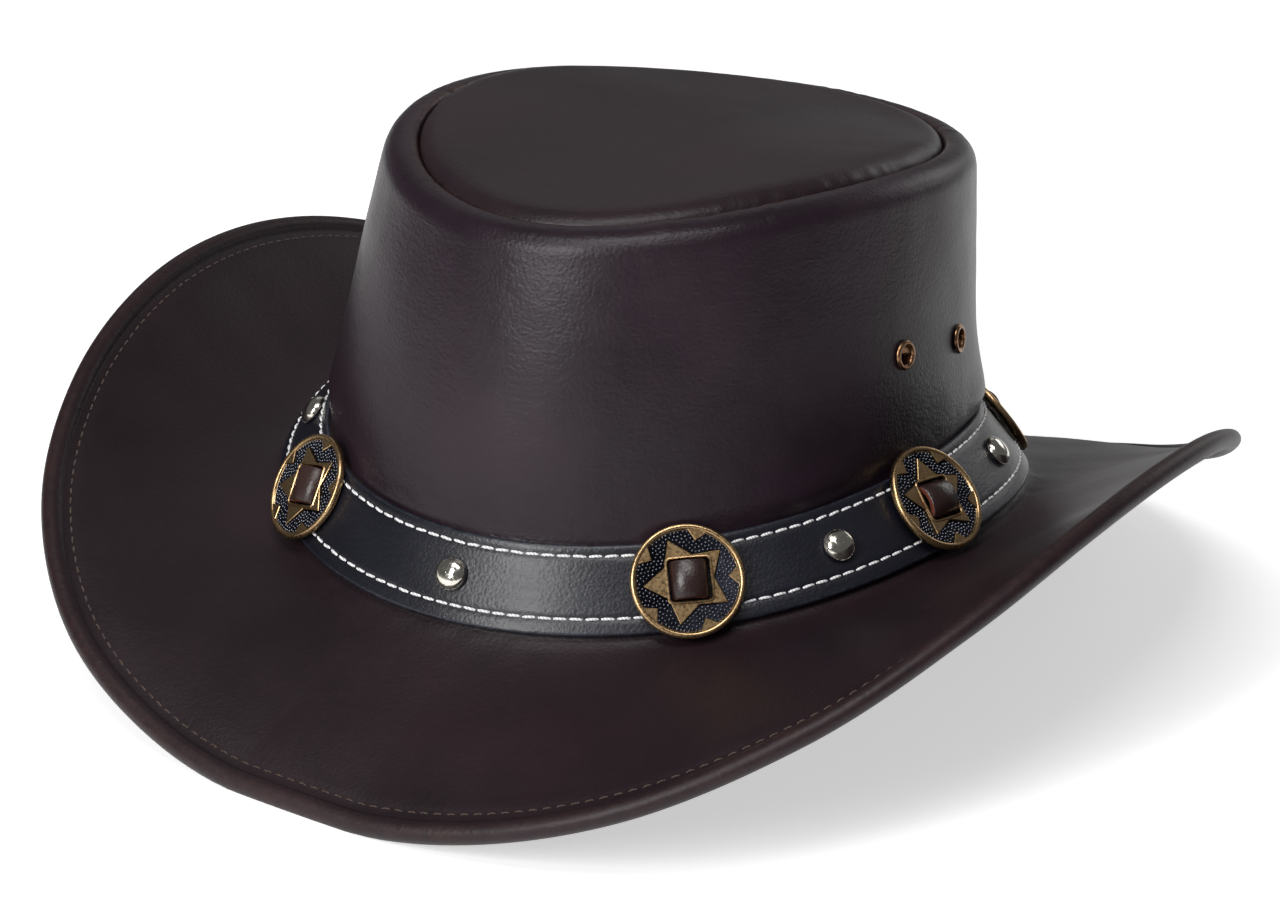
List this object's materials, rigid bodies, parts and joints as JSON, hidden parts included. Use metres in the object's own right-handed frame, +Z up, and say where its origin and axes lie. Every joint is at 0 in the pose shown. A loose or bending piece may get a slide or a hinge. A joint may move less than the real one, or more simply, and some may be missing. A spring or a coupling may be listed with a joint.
{
  "type": "leather wide-brim hat",
  "caption": "Dark brown leather western hat with a domed crown, side-curled wired brim and a black stitched band with star conchos, studs and air eyelets.",
  "frame": {"origin": "middle of the hat at the level of the surface that the brim rests on", "axes": "-Y toward the front of the hat, +X toward the wearer's left, +Z up"},
  "size_m": [0.3128, 0.3344, 0.1455],
  "materials": {
    "brown_leather": "smooth waxed dark brown leather with a soft sheen",
    "black_band_leather": "smooth black leather with white saddle stitching",
    "loop_leather": "brown leather strip with raw reddish cut edges",
    "antique_brass": "cast antique brass, polished relief over a blackened beaded ground",
    "nickel": "polished nickel",
    "antique_copper": "antique copper, darkened in the recesses"
  },
  "bodies": {
    "root": {"crown_side": "brown_leather", "crown_tip": "brown_leather", "brim": "brown_leather", "hat_band": "black_band_leather", "concho_1": "antique_brass", "concho_2": "antique_brass", "concho_3": "antique_brass", "concho_4": "antique_brass", "concho_5": "antique_brass", "concho_6": "antique_brass", "concho_7": "antique_brass", "concho_loop_1": "loop_leather", "concho_loop_2": "loop_leather", "concho_loop_3": "loop_leather", "concho_loop_4": "loop_leather", "concho_loop_5": "loop_leather", "concho_loop_6": "loop_leather", "concho_loop_7": "loop_leather", "stud_1": "nickel", "stud_2": "nickel", "stud_3": "nickel", "stud_4": "nickel", "stud_5": "nickel", "stud_6": "nickel", "stud_7": "nickel", "eyelet_1": "antique_copper", "eyelet_2": "antique_copper", "eyelet_3": "antique_copper", "eyelet_4": "antique_copper"}
  },
  "joints": []
}
